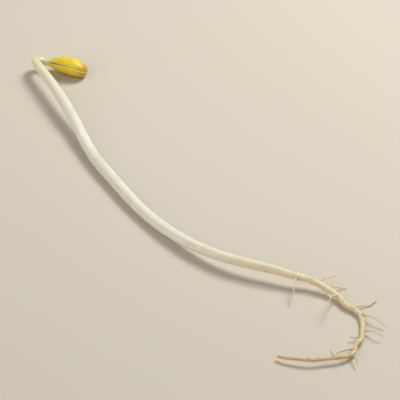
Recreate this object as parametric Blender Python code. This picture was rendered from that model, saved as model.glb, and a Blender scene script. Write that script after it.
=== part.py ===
"""One soybean sprout, as picked, lying on its side on a flat surface.

The white stem starts at the seed leaves, turns over in a tight hook and runs on into the root.
Two thick yellow seed leaves make the head, and the folded first leaves sit between them.
Blender units are metres, +Z is up, and the surface that the sprout lies on is z = 0.
"""

import math
import random

import bmesh
import bpy
import numpy as np
from mathutils import Matrix, Vector

MM = 0.001

# Where the stem's axis runs, seen from above, in millimetres from the outermost point of the hook.
# The third number is the height of the stem's underside over the surface.
HOOK_RADIUS = 1.2
HOOK_CENTRE = (1.35, -1.45)
HOOK_ANGLES = (70.0, 200.0)
HOOK_STEPS = 7
HOOK_LIFTS = (1.08, 1.8)
STEM_ROUTE = (
    (1.75, -5.6, 2.1),
    (5.1, -13.1, 2.0),
    (9.6, -24.3, 0.95),
    (13.3, -34.2, 0.1),
    (17.7, -42.7, -0.04),
    (22.3, -51.0, -0.07),
    (27.4, -58.4, 0.12),
    (33.3, -65.0, 0.7),
    (39.5, -69.8, 1.35),
    (46.6, -73.2, 1.7),
)
ROOT_ROUTE = (
    (54.4, -76.0, 1.3),
    (61.0, -79.8, 0.4),
    (65.2, -86.0, -0.05),
    (65.9, -92.6, -0.04),
    (62.6, -98.4, 0.5),
    (56.9, -100.6, 0.9),
    (50.6, -98.9, 0.55),
)

# Thickness of the stem and root, as pairs of distance along the axis and diameter, in millimetres.
THICKNESS = (
    (0.0, 1.9),
    (2.0, 1.82),
    (5.0, 2.0),
    (20.0, 2.38),
    (45.0, 2.6),
    (68.0, 2.46),
    (84.0, 2.12),
    (96.0, 1.7),
    (106.0, 1.32),
    (117.0, 1.06),
    (129.0, 0.86),
    (140.0, 0.66),
)

# The root's small waves, each as wavelength, sway and starting angle, and where along it they set in.
ROOT_WAVES = ((12.5, 0.34, 0.6), (6.7, 0.15, 2.1))
WAVES_SET_IN = (88.0, 108.0)

# How the tube is ringed along its length. The hook's closer rings run on a little way past it.
RING_SPACING = 1.5
HOOK_RING_SPACING = 0.45
HOOK_RUN_ON = 1.5
TANGENT_STEP = 0.2
STEM_BEVEL_RESOLUTION = 6
END_RINGS = 4
STEM_END_STRETCH = 0.4
ROOT_TIP_STRETCH = 3.0

# The side roots, drawn by rule along the root. The rise is in degrees, and lean, sway and sag are shares
# of a side root's length.
SIDE_ROOTS = 11
SIDE_ROOT_SPAN = (96.0, 132.0)
SIDE_ROOT_LENGTHS = (9.0, 3.4)
SIDE_ROOT_LENGTH_SPREAD = (0.55, 1.1)
SIDE_ROOT_DIAMETERS = (0.40, 0.24)
SIDE_ROOT_RISE = (0, 55)
SIDE_ROOT_LEAN = (0.25, 0.8)
SIDE_ROOT_SWAY = 0.35
SIDE_ROOT_SAG = 0.35
SIDE_ROOT_TIP_SHARE = 0.45
SIDE_ROOT_POINTS = 8
SIDE_ROOT_SEED = 12
LEAST_LIFT = 0.12

# The head: two seed leaves, built along X from their stalks, with the slit between them at z = 0.
HEAD_LENGTH = 9.2
HEAD_WIDTH = 4.7
SEED_LEAF_THICKNESS = 1.88
SLIT_HALF_GAP = 0.15
SLIT_OPENING = 0.3
SEED_LEAF_SWINGS = (0.9, -0.7)
HEAD_HEADING = -20.0
HEAD_PITCH = -4.0
HEAD_ROLL = -28.0
HEAD_GAP = 0.32
HEAD_ARCH = 0.5
SEED_LEAF_SEGMENTS = 28
SEED_LEAF_RINGS = 20
SEED_LEAF_BASE_SHARE = 0.38
SEED_LEAF_BASE_ROUNDING = 0.025
SEED_LEAF_WIDEST = 0.56
SEED_LEAF_RISE = 1.35
SEED_LEAF_END_POWER = 2.5
MARGIN_HEIGHT = 0.13
MARGIN_POWER = 6
HOLLOW_OUTLINE = (
    (0.0, 0.42), (0.05, 0.48), (0.2, 0.62), (0.38, 0.56), (0.55, 0.26), (0.7, 0.1), (1.0, 0.0),
)

# The first leaves, folded face to face on a short stalk.
BUD_START = 0.35
BUD_STALK_LENGTH = 1.3
BUD_STALK_DIAMETER = 0.52
BUD_LEAF_LENGTH = 2.7
BUD_LEAF_WIDTH = 1.5
BUD_LEAF_THICKNESS = 0.36
BUD_LEAF_TAPER = 0.55
BUD_LEAF_OFFSET = 0.15
BUD_LEAF_SPLAY = 4.0
BUD_LEAF_SINK = 0.5
BUD_STALK_PROFILE = (0.8, 1.0, 1.0, 0.9, 0.5)
BUD_SEGMENTS = 16
BUD_RINGS = 10

WHITE = (0.90, 0.86, 0.74)
YELLOW = (0.80, 0.60, 0.06)
PALE_GREEN = (0.80, 0.78, 0.35)


def clear_scene():
    for obj in list(bpy.data.objects):
        bpy.data.objects.remove(obj, do_unlink=True)


def new_collection(name):
    collection = bpy.data.collections.new(name)
    bpy.context.scene.collection.children.link(collection)
    return collection


def new_material(name, colour, roughness):
    material = bpy.data.materials.new(name)
    material.use_nodes = True
    shader = material.node_tree.nodes["Principled BSDF"]
    shader.inputs["Base Color"].default_value = (*colour, 1.0)
    shader.inputs["Roughness"].default_value = roughness
    shader.inputs["Metallic"].default_value = 0.0
    return material


def spline_through(knots, values, places):
    """A natural cubic spline through values at knots, read at places."""
    knots = np.asarray(knots, float)
    values = np.asarray(values, float)
    gaps = np.diff(knots)
    count = len(knots)
    system = np.eye(count)
    right = np.zeros_like(values)
    slopes = (np.diff(values, axis=0).T / gaps).T
    for i in range(1, count - 1):
        system[i, i - 1 : i + 2] = gaps[i - 1], 2 * (gaps[i - 1] + gaps[i]), gaps[i]
        right[i] = 6 * (slopes[i] - slopes[i - 1])
    bends = np.linalg.solve(system, right)
    i = np.clip(np.searchsorted(knots, places, side="right") - 1, 0, count - 2)
    h = gaps[i]
    a = (knots[i + 1] - places) / h
    b = (places - knots[i]) / h
    if values.ndim > 1:
        a, b, h = a[:, None], b[:, None], h[:, None]
    curve = ((a**3 - a) * bends[i] + (b**3 - b) * bends[i + 1]) * h**2 / 6
    return a * values[i] + b * values[i + 1] + curve


def diameter_at(distance):
    return np.interp(distance, *zip(*THICKNESS))


def route_knots():
    """The hand-set points of the axis, from the seed leaves to the root's tip."""
    turns = np.radians(np.linspace(*HOOK_ANGLES, HOOK_STEPS))
    lifts = np.linspace(*HOOK_LIFTS, HOOK_STEPS)
    hook = [
        (HOOK_CENTRE[0] + HOOK_RADIUS * math.cos(t), HOOK_CENTRE[1] + HOOK_RADIUS * math.sin(t), lift)
        for t, lift in zip(turns, lifts)
    ]
    return np.array([*hook, *STEM_ROUTE, *ROOT_ROUTE])


def route_lengths(knots):
    """How far along the route each knot is, seen from above."""
    steps = np.linalg.norm(np.diff(knots[:, :2], axis=0), axis=1)
    return np.concatenate([[0.0], np.cumsum(steps)])


def smooth_route(distances):
    knots = route_knots()
    return spline_through(route_lengths(knots), knots, distances)


def axis_at(distances):
    """Points on the axis at these distances from the seed leaves, in millimetres."""
    points = smooth_route(distances)
    ahead = smooth_route(distances + TANGENT_STEP) - smooth_route(distances - TANGENT_STEP)
    ahead[:, 2] = 0
    ahead /= np.linalg.norm(ahead, axis=1)[:, None]
    sway = sum(
        reach * np.sin(2 * math.pi * distances / wavelength + start)
        for wavelength, reach, start in ROOT_WAVES
    )
    sway = sway * np.interp(distances, WAVES_SET_IN, (0, 1))
    points[:, 0] -= ahead[:, 1] * sway
    points[:, 1] += ahead[:, 0] * sway
    points[:, 2] += diameter_at(distances) / 2
    return points


def tube(name, points, radii, resolution):
    """A round tube along points in millimetres, as a closed mesh object."""
    curve = bpy.data.curves.new(name, "CURVE")
    curve.dimensions = "3D"
    curve.bevel_depth = MM
    curve.bevel_resolution = resolution
    curve.use_fill_caps = True
    spline = curve.splines.new("POLY")
    spline.points.add(len(points) - 1)
    for knot, point, radius in zip(spline.points, points, radii):
        knot.co = (*(Vector(point) * MM), 1.0)
        knot.radius = radius
    guide = bpy.data.objects.new(name, curve)
    bpy.context.scene.collection.objects.link(guide)
    made = as_mesh(guide, name)
    bpy.data.objects.remove(guide, do_unlink=True)
    return made


def as_mesh(source, name):
    """A mesh object of what source shows, with its doubled points merged."""
    graph = bpy.context.evaluated_depsgraph_get()
    mesh = bpy.data.meshes.new_from_object(source.evaluated_get(graph))
    bm = bmesh.new()
    bm.from_mesh(mesh)
    bmesh.ops.remove_doubles(bm, verts=bm.verts, dist=0.0001 * MM)
    bmesh.ops.recalc_face_normals(bm, faces=bm.faces)
    bm.to_mesh(mesh)
    bm.free()
    made = bpy.data.objects.new(name, mesh)
    made.matrix_world = source.matrix_world
    return made


def fuse(trunk, branches):
    """Joins branches to trunk as one body."""
    joined = new_collection(trunk.name + "_branches")
    for branch in branches:
        joined.objects.link(branch)
    union = trunk.modifiers.new("fuse", "BOOLEAN")
    union.operation = "UNION"
    union.operand_type = "COLLECTION"
    union.collection = joined
    union.solver = "EXACT"
    bpy.context.view_layer.update()
    fused = as_mesh(trunk, trunk.name)
    for obj in (*branches, trunk):
        bpy.data.objects.remove(obj, do_unlink=True)
    bpy.data.collections.remove(joined)
    return fused


def rest_flat(obj, place):
    """Cuts away what of obj, once at place, would be under z = 0. It rests on the flat spots this leaves."""
    bm = bmesh.new()
    bm.from_mesh(obj.data)
    back = place.inverted()
    geometry = [*bm.verts, *bm.edges, *bm.faces]
    up = back.to_3x3() @ Vector((0, 0, 1))
    bmesh.ops.bisect_plane(
        bm, geom=geometry, dist=1e-7, plane_co=back.translation, plane_no=up, clear_inner=True
    )
    open_edges = [edge for edge in bm.edges if edge.is_boundary]
    bmesh.ops.holes_fill(bm, edges=open_edges)
    bmesh.ops.recalc_face_normals(bm, faces=bm.faces)
    bm.to_mesh(obj.data)
    bm.free()


def add_empty(name, parent, place, collection):
    empty = bpy.data.objects.new(name, None)
    empty.parent = parent
    empty.matrix_local = place
    empty.empty_display_size = 3 * MM
    collection.objects.link(empty)
    return empty


def finish(obj, name, material, parent, place, collection):
    """Names a piece, gives it its material and puts it at its place on its parent."""
    obj.name = name
    obj.data.name = name
    obj.data.materials.clear()
    obj.data.materials.append(material)
    obj.data.shade_smooth()
    obj.data.set_sharp_from_angle(angle=math.radians(40))
    collection.objects.link(obj)
    obj.parent = parent
    obj.matrix_local = place


def side_root(index, dice):
    """One fine side root, which leaves the root and bends over towards the surface."""
    first, last = SIDE_ROOT_SPAN
    distance = first + (last - first) * (index + dice.uniform(0.1, 0.9)) / SIDE_ROOTS
    here, ahead = (Vector(p) for p in axis_at(np.array([distance, distance + TANGENT_STEP])))
    forward = (ahead - here).normalized()
    side = forward.cross(Vector((0, 0, 1))).normalized() * dice.choice((-1, 1))
    rise = math.radians(dice.uniform(*SIDE_ROOT_RISE))
    outward = (side * math.cos(rise) + Vector((0, 0, math.sin(rise)))).normalized()
    direction = (outward + forward * dice.uniform(*SIDE_ROOT_LEAN)).normalized()
    longest = np.interp(index, (0, SIDE_ROOTS - 1), SIDE_ROOT_LENGTHS)
    length = float(longest) * dice.uniform(*SIDE_ROOT_LENGTH_SPREAD)
    sway = dice.uniform(-SIDE_ROOT_SWAY, SIDE_ROOT_SWAY)
    points = []
    for step in range(SIDE_ROOT_POINTS):
        reach = step / (SIDE_ROOT_POINTS - 1)
        point = here + direction * (length * reach)
        point += forward * (sway * length * reach**2)
        point.z -= SIDE_ROOT_SAG * length * reach**2
        thick = np.interp(reach, (0, 1), SIDE_ROOT_DIAMETERS) / 2
        point.z = max(point.z, LEAST_LIFT + thick)
        points.append(point)
    radii = np.linspace(*SIDE_ROOT_DIAMETERS, SIDE_ROOT_POINTS) / 2
    radii[-1] *= SIDE_ROOT_TIP_SHARE
    return tube(f"side_root_{index}", points, radii, 1)


def round_end(points, radii, stretch):
    """Adds rings that close the first end of a tube in a dome, stretch times its radius long."""
    end, radius = Vector(points[0]), radii[0]
    outward = (end - Vector(points[1])).normalized()
    extra_points, extra_radii = [], []
    for ring in range(END_RINGS, 0, -1):
        turn = math.radians(88) * ring / END_RINGS
        extra_points.append(end + outward * (math.sin(turn) * radius * stretch))
        extra_radii.append(radius * math.cos(turn))
    return np.array([*extra_points, *points]), np.array([*extra_radii, *radii])


def make_stem(material, parent, collection):
    """The stem, its hook and the root as one tube with rounded ends, and the side roots fused on."""
    length = route_lengths(route_knots())[-1]
    hook_end = HOOK_RADIUS * math.radians(HOOK_ANGLES[1] - HOOK_ANGLES[0]) + HOOK_RUN_ON
    hook_rings = np.arange(0.0, hook_end, HOOK_RING_SPACING)
    body_rings = np.linspace(hook_end, length, round((length - hook_end) / RING_SPACING))
    distances = np.concatenate([hook_rings, body_rings])
    points = axis_at(distances)
    radii = diameter_at(distances) / 2
    points, radii = round_end(points, radii, STEM_END_STRETCH)
    points, radii = round_end(points[::-1], radii[::-1], ROOT_TIP_STRETCH)
    trunk = tube("stem", points[::-1], radii[::-1], STEM_BEVEL_RESOLUTION)
    dice = random.Random(SIDE_ROOT_SEED)
    branches = [side_root(index, dice) for index in range(SIDE_ROOTS)]
    bpy.context.scene.collection.objects.link(trunk)
    stem = fuse(trunk, branches)
    rest_flat(stem, Matrix())
    finish(stem, "stem_with_root", material, parent, Matrix(), collection)


def head_place():
    """Where the head sits: its X runs on from the stem's end, and its Z goes through the slit."""
    end_radius = diameter_at(0.0) / 2
    start = Vector(axis_at(np.array([0.0]))[0]) * MM
    turn = (
        Matrix.Rotation(math.radians(HEAD_HEADING), 4, "Z")
        @ Matrix.Rotation(math.radians(-HEAD_PITCH), 4, "Y")
        @ Matrix.Rotation(math.radians(HEAD_ROLL), 4, "X")
    )
    gap = (end_radius * STEM_END_STRETCH + HEAD_GAP) * MM
    return Matrix.Translation(start) @ turn @ Matrix.Translation((gap, 0, 0))


def seed_leaf_share(place):
    """How wide or thick a seed leaf is at a place from 0 at its stalk to 1, as a share of its most."""
    if place >= SEED_LEAF_WIDEST:
        reach = (place - SEED_LEAF_WIDEST) / (1 - SEED_LEAF_WIDEST)
        return max(0.0, 1 - reach**SEED_LEAF_END_POWER) ** (1 / SEED_LEAF_END_POWER)
    rise = math.sin(place / SEED_LEAF_WIDEST * math.pi / 2) ** SEED_LEAF_RISE
    share = SEED_LEAF_BASE_SHARE + (1 - SEED_LEAF_BASE_SHARE) * rise
    if place < SEED_LEAF_BASE_ROUNDING:
        share *= math.sqrt(1 - (1 - place / SEED_LEAF_BASE_ROUNDING) ** 2)
    return share


def arch_at(x):
    """How far the head's middle bows up at x millimetres from its base."""
    return HEAD_ARCH * (1 - (2 * x / HEAD_LENGTH - 1) ** 2)


def seed_leaf_point(unit, side):
    """Where a point of a unit ball goes on the seed leaf above the slit (side 1) or below it (side -1)."""
    place = min(1.0, max(0.0, (1 + unit.z) / 2))
    around = math.hypot(unit.x, unit.y)
    across, up = (unit.x / around, unit.y / around) if around > 1e-6 else (0.0, 0.0)
    share = seed_leaf_share(place)
    margin = MARGIN_HEIGHT * share
    if up > 0:
        height = margin + (SEED_LEAF_THICKNESS * share - margin) * up
    else:
        hollow = np.interp(place, *zip(*HOLLOW_OUTLINE)) * min(1.0, share * 2)
        height = margin * across**MARGIN_POWER + hollow * up**2
    x = place * HEAD_LENGTH
    return Vector((x, share * HEAD_WIDTH / 2 * across, side * (height + SLIT_HALF_GAP) + arch_at(x)))


def make_seed_leaf(name, side, material, head, place, collection):
    """One thick seed leaf: round outside, nearly flat with a hollow inside, and narrow at its stalk."""
    bm = bmesh.new()
    bmesh.ops.create_uvsphere(
        bm, u_segments=SEED_LEAF_SEGMENTS, v_segments=SEED_LEAF_RINGS, radius=1.0
    )
    for vert in bm.verts:
        vert.co = seed_leaf_point(vert.co, side) * MM
    bmesh.ops.recalc_face_normals(bm, faces=bm.faces)
    mesh = bpy.data.meshes.new(name)
    bm.to_mesh(mesh)
    bm.free()
    leaf = bpy.data.objects.new(name, mesh)
    opened = Matrix.Rotation(math.radians(-side * SLIT_OPENING), 4, "Y")
    swung = Matrix.Rotation(math.radians(SEED_LEAF_SWINGS[side < 0]), 4, "Z")
    rest_flat(leaf, place @ opened @ swung)
    finish(leaf, name, material, head, opened @ swung, collection)


def bud_leaf(side):
    """One folded first leaf: a pointed lens that lies along the stalk's line."""
    bm = bmesh.new()
    bmesh.ops.create_uvsphere(bm, u_segments=BUD_SEGMENTS, v_segments=BUD_RINGS, radius=1.0)
    for vert in bm.verts:
        place = (1 + vert.co.z) / 2
        taper = 1 - BUD_LEAF_TAPER * place**2
        vert.co = Vector((
            place * BUD_LEAF_LENGTH,
            vert.co.x * taper * BUD_LEAF_WIDTH / 2,
            vert.co.y * BUD_LEAF_THICKNESS / 2 + side * BUD_LEAF_OFFSET,
        )) * MM
    turn = Matrix.Rotation(math.radians(-side * BUD_LEAF_SPLAY), 4, "Y")
    shift = Matrix.Translation(((BUD_STALK_LENGTH - BUD_LEAF_SINK) * MM, 0, 0))
    bmesh.ops.transform(bm, matrix=shift @ turn, verts=bm.verts)
    bmesh.ops.recalc_face_normals(bm, faces=bm.faces)
    mesh = bpy.data.meshes.new("bud_leaf")
    bm.to_mesh(mesh)
    bm.free()
    return bpy.data.objects.new("bud_leaf", mesh)


def make_shoot_bud(material, head, collection):
    """The stalk with its two folded leaves, between the seed leaves, bowed with the head."""
    points = [Vector((x, 0, 0)) for x in np.linspace(0, BUD_STALK_LENGTH, len(BUD_STALK_PROFILE))]
    radii = [BUD_STALK_DIAMETER / 2 * share for share in BUD_STALK_PROFILE]
    stalk = tube("stalk", points, radii, 3)
    bpy.context.scene.collection.objects.link(stalk)
    bud = fuse(stalk, [bud_leaf(1), bud_leaf(-1)])
    for vert in bud.data.vertices:
        vert.co.z += arch_at(vert.co.x / MM + BUD_START) * MM
    start = Matrix.Translation((BUD_START * MM, 0, 0))
    finish(bud, "shoot_bud", material, head, start, collection)


def centre_over_origin(holder, pieces):
    """Moves everything sideways, so that the middle of its bounding box is over the origin."""
    bpy.context.view_layer.update()
    corners = [piece.matrix_world @ vert.co for piece in pieces for vert in piece.data.vertices]
    for axis in (0, 1):
        places = [corner[axis] for corner in corners]
        holder.location[axis] = -(min(places) + max(places)) / 2


def main():
    clear_scene()
    sprout = new_collection("soybean_sprout")
    white = new_material("stem_white", WHITE, 0.35)
    yellow = new_material("seed_leaf_yellow", YELLOW, 0.38)
    green = new_material("bud_green", PALE_GREEN, 0.45)
    base = add_empty("sprout_base", None, Matrix(), sprout)
    make_stem(white, base, sprout)
    place = head_place()
    head = add_empty("head", base, place, sprout)
    make_seed_leaf("seed_leaf_upper", 1, yellow, head, place, sprout)
    make_seed_leaf("seed_leaf_lower", -1, yellow, head, place, sprout)
    make_shoot_bud(green, head, sprout)
    centre_over_origin(base, [obj for obj in sprout.objects if obj.type == "MESH"])


main()
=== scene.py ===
"""The looks of one soybean sprout that lies on its side on a pale floor.

The white stem turns over in a tight hook under a yellow head of two seed leaves. Its other end
tapers into a curled, tan root with fine side roots. Shapes are worked out in millimetres from the
outermost point of the hook, and turned into metres in the frame where a mesh is finished.
"""

import math
import random

import bmesh
import bpy
import numpy as np
from mathutils import Matrix, Vector, noise


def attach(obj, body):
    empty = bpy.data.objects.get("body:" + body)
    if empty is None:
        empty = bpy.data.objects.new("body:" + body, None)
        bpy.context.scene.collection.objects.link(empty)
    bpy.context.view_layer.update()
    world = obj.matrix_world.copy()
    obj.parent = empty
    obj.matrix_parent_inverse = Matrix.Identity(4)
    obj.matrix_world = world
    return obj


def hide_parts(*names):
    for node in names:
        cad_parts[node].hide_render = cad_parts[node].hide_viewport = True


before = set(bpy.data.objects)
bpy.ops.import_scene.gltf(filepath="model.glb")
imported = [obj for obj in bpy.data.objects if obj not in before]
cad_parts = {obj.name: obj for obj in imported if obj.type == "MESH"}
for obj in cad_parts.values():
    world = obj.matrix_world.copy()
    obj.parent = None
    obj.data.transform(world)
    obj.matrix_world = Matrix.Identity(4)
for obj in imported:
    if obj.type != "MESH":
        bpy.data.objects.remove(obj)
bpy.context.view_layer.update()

MM = 0.001
BODY = "root"

# Where the outermost point of the hook lies in the frame.
HOOK_POINT = Vector((-35.0255, 50.4252, 0.0))

# Where the stem's axis runs, seen from above. The third number is the height of the stem's underside.
HOOK_RADIUS = 1.2
HOOK_CENTRE = (1.35, -1.45)
HOOK_ANGLES = (70.0, 200.0)
HOOK_STEPS = 7
HOOK_LIFTS = (1.08, 1.8)
STEM_ROUTE = (
    (1.75, -5.6, 2.1),
    (5.1, -13.1, 2.0),
    (9.6, -24.3, 0.95),
    (13.3, -34.2, 0.1),
    (17.7, -42.7, -0.04),
    (22.3, -51.0, -0.07),
    (27.4, -58.4, 0.12),
    (33.3, -65.0, 0.7),
    (39.5, -69.8, 1.35),
    (46.6, -73.2, 1.7),
)
ROOT_ROUTE = (
    (54.4, -76.0, 1.3),
    (61.0, -79.8, 0.4),
    (65.2, -86.0, -0.05),
    (65.9, -92.6, -0.04),
    (62.6, -98.4, 0.5),
    (56.9, -100.6, 0.9),
    (50.6, -98.9, 0.55),
)

# Thickness of the stem and root, as pairs of distance along the axis and diameter.
THICKNESS = (
    (0.0, 1.9),
    (2.0, 1.82),
    (5.0, 2.0),
    (20.0, 2.38),
    (45.0, 2.6),
    (68.0, 2.46),
    (84.0, 2.12),
    (96.0, 1.7),
    (106.0, 1.32),
    (117.0, 1.06),
    (129.0, 0.86),
    (140.0, 0.66),
)

# The root's small waves, each as wavelength, sway and starting angle, and where along it they set in.
ROOT_WAVES = ((12.5, 0.34, 0.6), (6.7, 0.15, 2.1))
WAVES_SET_IN = (88.0, 108.0)
TANGENT_STEP = 0.2

# The side roots, drawn by rule along the root. The span has an equal stretch for each, and the places
# are shares of a stretch. The rise is in degrees, and sway and sag are shares of a side root's length.
SIDE_ROOTS = 11
SIDE_ROOT_SPAN = (96.0, 132.0)
SIDE_ROOT_PLACES = (0.1, 0.9)
SIDE_ROOT_LENGTHS = (9.0, 3.4)
SIDE_ROOT_LENGTH_SPREAD = (0.55, 1.1)
SIDE_ROOT_DIAMETERS = (0.40, 0.24)
SIDE_ROOT_RISE = (0, 55)
SIDE_ROOT_LEAN = (0.25, 0.8)
SIDE_ROOT_SWAY = 0.35
SIDE_ROOT_SAG = 0.35
SIDE_ROOT_SEED = 12
LEAST_LIFT = 0.12

# The head: two seed leaves, built along X from their stalks, with the slit between them at z = 0. The
# swings, heading, pitch and roll are in degrees. The stem's end is so many of its radii long, and the
# seed leaves' base share and widest place are shares of their greatest size and of their length.
HEAD_LENGTH = 9.2
HEAD_WIDTH = 4.7
SEED_LEAF_THICKNESS = 1.88
SEED_LEAF_SWINGS = (0.9, -0.7)
HEAD_HEADING = -20.0
HEAD_PITCH = -4.0
HEAD_ROLL = -28.0
HEAD_GAP = 0.32
HEAD_ARCH = 0.5
STEM_END_STRETCH = 0.4
SEED_LEAF_BASE_SHARE = 0.38
SEED_LEAF_BASE_ROUNDING = 0.025
SEED_LEAF_WIDEST = 0.56
SEED_LEAF_RISE = 1.35
SEED_LEAF_END_POWER = 2.5
MARGIN_HEIGHT = 0.09
MARGIN_POWER = 20
HOLLOW_OUTLINE = (
    (0.0, 0.42), (0.05, 0.48), (0.2, 0.62), (0.38, 0.56), (0.55, 0.26), (0.7, 0.1), (1.0, 0.0),
)

# The first leaves, folded face to face on a short stalk. The stalk's profile and ends are shares of
# its thickness, and its bulge is how many millimetres its far end stands out.
BUD_START = 0.35
BUD_STALK_LENGTH = 1.3
BUD_STALK_DIAMETER = 0.52
BUD_LEAF_LENGTH = 2.7
BUD_LEAF_WIDTH = 1.5
BUD_LEAF_THICKNESS = 0.36
BUD_LEAF_TAPER = 0.55
BUD_LEAF_OFFSET = 0.15
BUD_LEAF_SPLAY = 4.0
BUD_LEAF_SINK = 0.5
BUD_STALK_PROFILE = (0.8, 1.0, 1.0, 0.9, 0.5)
BUD_STALK_END = 0.05
BUD_STALK_BULGE = 0.05

# How far the fine root strays from its solid along X, Y and Z, how often, and where that sets in.
# The start is the row of noise that it reads, and the step is from one axis's noise to the next.
ROOT_STRAY = (0.42, 0.42, 0.12)
ROOT_STRAY_LENGTH = 3.3
ROOT_STRAY_START = 14.3
ROOT_STRAYS_FROM = (98.0, 114.0)
STRAY_AXIS_STEP = 11.3

# How finely each piece is meshed. A rounded end starts so many degrees from its middle.
STEM_SIDES = 36
STEM_RING_SPACING = 0.32
HOOK_RING_SPACING = 0.1
HOOK_REACH = 6.0
END_RINGS = 9
END_TURN = 88
SIDE_ROOT_SIDES = 12
SIDE_ROOT_RINGS = 40
SEED_LEAF_SEGMENTS = 96
SEED_LEAF_RINGS = 80
BUD_SEGMENTS = 40
BUD_RINGS = 32

# How far inside the solids' skin the finer skin stays, as a share of the radius.
SKIN_SHARE = 0.992

# The stem's neck, which runs on from the route's start and in between the seed leaves. Its waist is a
# share of the stem's thickness. The root's rounded tip is so many radii long.
NECK_LENGTH = 2.6
NECK_WAIST = 0.80
NECK_NARROWS_FROM = 2.2
NECK_SHRINKS_FROM = 0.7
ROOT_TIP_STRETCH = 3.0

# The relief of the stem and root. Depths are shares of the radius, and wavelengths are in millimetres.
RIBS = 7
RIB_DEPTH = 0.022
RIB_TWIST = 0.035
LUMP_LENGTH = 7.0
LUMP_DEPTH = 0.05
CREASE_LENGTH = 0.42
CREASE_DEPTH = 0.09
CREASE_SPAN = (0.5, 1.2, 2.6, 3.6)
WRINKLE_LENGTH = 0.8
WRINKLE_DEPTH = 0.16
WRINKLES_AROUND = 1.3
WRINKLES_SET_IN = (88.0, 104.0)


def spline_through(knots, values, places):
    """A natural cubic spline through values at knots, read at places."""
    knots = np.asarray(knots, float)
    values = np.asarray(values, float)
    gaps = np.diff(knots)
    count = len(knots)
    system = np.eye(count)
    right = np.zeros_like(values)
    slopes = (np.diff(values, axis=0).T / gaps).T
    for i in range(1, count - 1):
        system[i, i - 1 : i + 2] = gaps[i - 1], 2 * (gaps[i - 1] + gaps[i]), gaps[i]
        right[i] = 6 * (slopes[i] - slopes[i - 1])
    bends = np.linalg.solve(system, right)
    i = np.clip(np.searchsorted(knots, places, side="right") - 1, 0, count - 2)
    h = gaps[i]
    a = (knots[i + 1] - places) / h
    b = (places - knots[i]) / h
    if values.ndim > 1:
        a, b, h = a[:, None], b[:, None], h[:, None]
    curve = ((a**3 - a) * bends[i] + (b**3 - b) * bends[i + 1]) * h**2 / 6
    return a * values[i] + b * values[i + 1] + curve


def diameter_at(distance):
    """How thick the stem or root is at a distance from the seed leaves."""
    return np.interp(distance, *zip(*THICKNESS))


def route_knots():
    """The listed points of the axis, from the seed leaves to the root's tip."""
    turns = np.radians(np.linspace(*HOOK_ANGLES, HOOK_STEPS))
    lifts = np.linspace(*HOOK_LIFTS, HOOK_STEPS)
    hook = [
        (HOOK_CENTRE[0] + HOOK_RADIUS * math.cos(t), HOOK_CENTRE[1] + HOOK_RADIUS * math.sin(t), lift)
        for t, lift in zip(turns, lifts)
    ]
    return np.array([*hook, *STEM_ROUTE, *ROOT_ROUTE])


def route_lengths(knots):
    """How far along the route each knot is, seen from above."""
    steps = np.linalg.norm(np.diff(knots[:, :2], axis=0), axis=1)
    return np.concatenate([[0.0], np.cumsum(steps)])


ROUTE_LENGTH = route_lengths(route_knots())[-1]


def smooth_route(distances):
    """Points on the smooth line through the listed ones."""
    knots = route_knots()
    return spline_through(route_lengths(knots), knots, distances)


def route_axis(distances):
    """Points on the axis at these distances from the seed leaves."""
    points = smooth_route(distances)
    ahead = smooth_route(distances + TANGENT_STEP) - smooth_route(distances - TANGENT_STEP)
    ahead[:, 2] = 0
    ahead /= np.linalg.norm(ahead, axis=1)[:, None]
    sway = sum(
        reach * np.sin(2 * math.pi * distances / wavelength + start)
        for wavelength, reach, start in ROOT_WAVES
    )
    sway = sway * np.interp(distances, WAVES_SET_IN, (0, 1))
    points[:, 0] -= ahead[:, 1] * sway
    points[:, 1] += ahead[:, 0] * sway
    points[:, 2] += diameter_at(distances) / 2
    return points + root_stray(distances)


def root_stray(distances):
    """How far the fine root strays from the axis of its solid."""
    stray = [stray_at(distance / ROOT_STRAY_LENGTH, ROOT_STRAY_START) for distance in distances]
    return np.array(stray) * ROOT_STRAY * smooth_step(*ROOT_STRAYS_FROM, distances)[:, None]


def head_place():
    """Where the head sits: its X runs on from the stem's end, and its Z goes through the slit."""
    start = Vector(route_axis(np.array([0.0]))[0])
    turn = (
        Matrix.Rotation(math.radians(HEAD_HEADING), 4, "Z")
        @ Matrix.Rotation(math.radians(-HEAD_PITCH), 4, "Y")
        @ Matrix.Rotation(math.radians(HEAD_ROLL), 4, "X")
    )
    return Matrix.Translation(start) @ turn @ Matrix.Translation((head_gap(), 0, 0))


def head_gap():
    """How far the seed leaves' bases are from the route's start."""
    return float(diameter_at(0.0)) / 2 * STEM_END_STRETCH + HEAD_GAP


def arch_at(x):
    """How far the head's middle bows up at x millimetres from its base."""
    return HEAD_ARCH * (1 - (2 * x / HEAD_LENGTH - 1) ** 2)


def axis_at(distances):
    """The axis with its neck, which runs in between the seed leaves, and its straight last bit of root."""
    points = route_axis(np.clip(distances, 0, ROUTE_LENGTH))
    last = route_axis(np.array([ROUTE_LENGTH - TANGENT_STEP, ROUTE_LENGTH]))
    beyond = np.maximum(distances - ROUTE_LENGTH, 0)
    points += beyond[:, None] * (last[1] - last[0]) / TANGENT_STEP
    place = head_place()
    for index in np.flatnonzero(distances < 0):
        x = -distances[index] - head_gap()
        points[index] = place @ Vector((x, 0, arch_at(max(x, 0))))
    return points


def directions_at(distances):
    """Unit vectors ahead, to the side and up from the axis."""
    ahead = axis_at(distances + TANGENT_STEP) - axis_at(distances - TANGENT_STEP)
    return square_to(ahead)


def square_to(ahead):
    """Unit vectors along ahead, level to its side, and up from both."""
    ahead = ahead / np.linalg.norm(ahead, axis=1)[:, None]
    side = np.cross(ahead, (0, 0, 1))
    side /= np.linalg.norm(side, axis=1)[:, None]
    return ahead, side, np.cross(side, ahead)


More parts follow.
